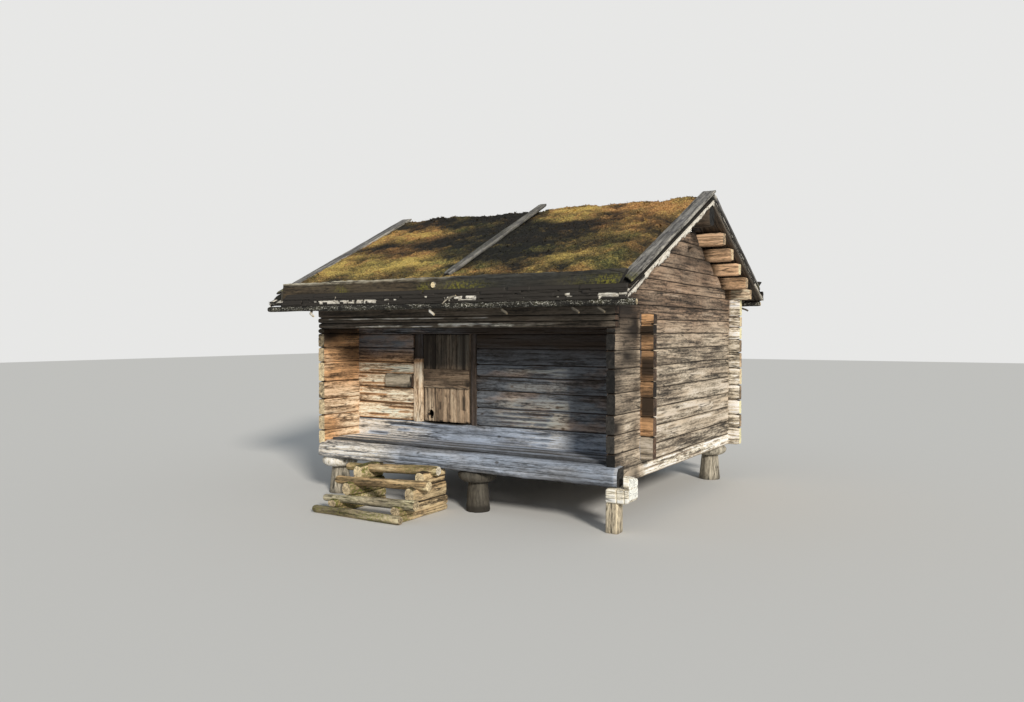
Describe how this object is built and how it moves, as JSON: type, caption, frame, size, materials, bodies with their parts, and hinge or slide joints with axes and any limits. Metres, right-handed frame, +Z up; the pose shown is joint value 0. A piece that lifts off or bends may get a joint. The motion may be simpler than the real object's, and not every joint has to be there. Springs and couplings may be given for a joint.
{
  "type": "raised granary",
  "caption": "Hewn-log granary raised on capped posts, with an open front porch, a low door that opens inwards, round-log steps and a mossy turf roof on birch bark.",
  "frame": {"origin": "ground level, at the middle of the bounding box seen from above", "axes": "+Z up, -Y towards the porch and the steps, +X towards the right-hand gable as seen from the front"},
  "size_m": [5.554, 5.9308, 4.2231],
  "materials": {
    "log_wall": "rough",
    "front_wall_wood": "rough",
    "porch_wood": "rough",
    "floor_wood": "rough",
    "door_wood": "rough",
    "header_wood": "rough",
    "post_wood": "rough",
    "purlin_wood": "rough",
    "birch_bark": "rough",
    "turf": "rough",
    "eave_wood": "rough",
    "roof_board_wood": "rough",
    "step_wood": "rough"
  },
  "bodies": {
    "granary": {"porch_beam": "porch_wood", "left_wall": "log_wall", "right_wall": "log_wall", "back_wall": "log_wall", "threshold_log": "front_wall_wood", "front_wall_left": "front_wall_wood", "front_wall_right": "front_wall_wood", "front_wall_over_door": "front_wall_wood", "left_jamb": "front_wall_wood", "right_jamb": "front_wall_wood", "lock_board": "front_wall_wood", "porch_header": "header_wood", "porch_floor": "porch_wood", "room_floor": "floor_wood", "floor_joists": "floor_wood", "front_left_post": "post_wood", "front_middle_post": "post_wood", "front_right_post": "post_wood", "back_posts": "post_wood", "front_left_cap": "post_wood", "front_middle_cap": "post_wood", "front_right_cap": "post_wood", "back_caps": "post_wood", "ridge_purlin": "purlin_wood", "front_purlins": "purlin_wood", "back_purlins": "purlin_wood", "front_roof_bark": "birch_bark", "back_roof_bark": "birch_bark", "front_turf": "turf", "back_turf": "turf", "front_eave_plank": "eave_wood", "back_eave_plank": "eave_wood", "front_eave_pole": "eave_wood", "back_eave_pole": "eave_wood", "eave_hooks": "eave_wood", "right_verge_boards": "roof_board_wood", "left_verge_boards": "roof_board_wood", "middle_roof_boards": "roof_board_wood", "step_treads": "step_wood", "step_sides": "step_wood"},
    "door": {"door_leaf": "door_wood"}
  },
  "joints": [
    {"name": "door_swing", "type": "hinge", "parent": "granary", "child": "door", "pos_m": [-0.173, -1.1855, 1.031], "axis": [0, 0, -1], "range_deg": [0, 90]}
  ]
}
